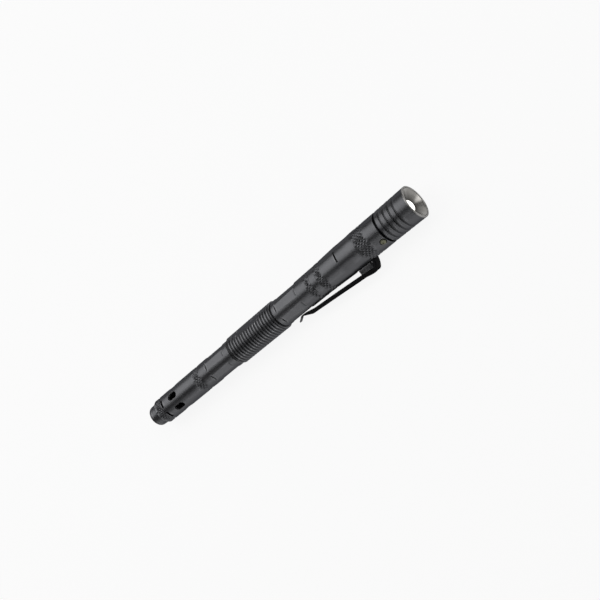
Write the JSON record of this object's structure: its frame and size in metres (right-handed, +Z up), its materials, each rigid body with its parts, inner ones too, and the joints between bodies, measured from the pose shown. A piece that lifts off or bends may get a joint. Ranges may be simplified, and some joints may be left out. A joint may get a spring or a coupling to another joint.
{
  "type": "tactical pen flashlight",
  "caption": "Tactical pen flashlight: screw cap over a ballpoint, ribbed grip, battery tube with pocket clip and side button, screwed LED head with a domed lens.",
  "frame": {"origin": "centre of the flat tail face of the tail plug, on the pen's axis", "axes": "+X along the pen from the tail to the head's rim, +Z up with the pen lying on a table on its grip, its head and its clip, so that the clip points to -Y and 25.4 degrees below the horizontal"},
  "size_m": [0.16, 0.0184, 0.0146],
  "materials": {
    "anodised_aluminium": "dark gunmetal anodising, satin",
    "clip_steel": "black oxide, satin",
    "cone_metal": "turned and bead blasted",
    "button_metal": "olive anodising, satin",
    "spring_steel": "drawn",
    "brass": "turned",
    "rubber": "matt black",
    "lens_plastic": "polished clear acrylic",
    "cell_can": "bare sleeve without print",
    "circuit_board": "solder mask",
    "led_board": "white solder mask on aluminium",
    "switch_plastic": "moulded",
    "phosphor": "silicone over phosphor",
    "refill_plastic": "translucent tube full of ink"
  },
  "bodies": {
    "pen_body": {"grip_barrel": "anodised_aluminium", "nib_section": "anodised_aluminium", "cap_o_ring": "rubber", "refill_tip": "brass", "refill_tube": "refill_plastic", "coupling_plug": "brass", "battery_spring": "spring_steel", "battery_cell": "cell_can", "battery_contact": "brass", "body_tube": "anodised_aluminium", "neck_o_ring": "rubber", "clip_block": "anodised_aluminium", "clip_screw": "spring_steel", "tact_switch": "switch_plastic", "driver_board": "circuit_board"},
    "cap": {"cap_barrel": "anodised_aluminium", "tail_plug": "anodised_aluminium"},
    "head": {"head_shell": "anodised_aluminium", "lens_retainer": "cone_metal", "lens": "lens_plastic", "lens_seal": "rubber", "led_emitter": "phosphor", "led_board": "led_board", "heat_sink": "brass", "contact_spring": "spring_steel"},
    "clip": {"clip": "clip_steel"},
    "button": {"switch_button": "button_metal"}
  },
  "joints": [
    {"name": "cap_pull", "type": "slide", "parent": "pen_body", "child": "cap", "axis": [-1, 0, 0], "range_m": [0, 0.05]},
    {"name": "head_pull", "type": "slide", "parent": "pen_body", "child": "head", "axis": [1, 0, 0], "range_m": [0, 0.012]},
    {"name": "clip_flex", "type": "hinge", "parent": "pen_body", "child": "clip", "pos_m": [0.1324, -0.00637, -0.00302], "axis": [0, -0.4289, 0.9033], "range_deg": [0, 5], "stiffness_Nm_per_rad": 1.2},
    {"name": "button_press", "type": "slide", "parent": "pen_body", "child": "button", "axis": [0, 0.8695, -0.4939], "range_m": [0, 0.0003], "stiffness_N_per_m": 1000}
  ]
}
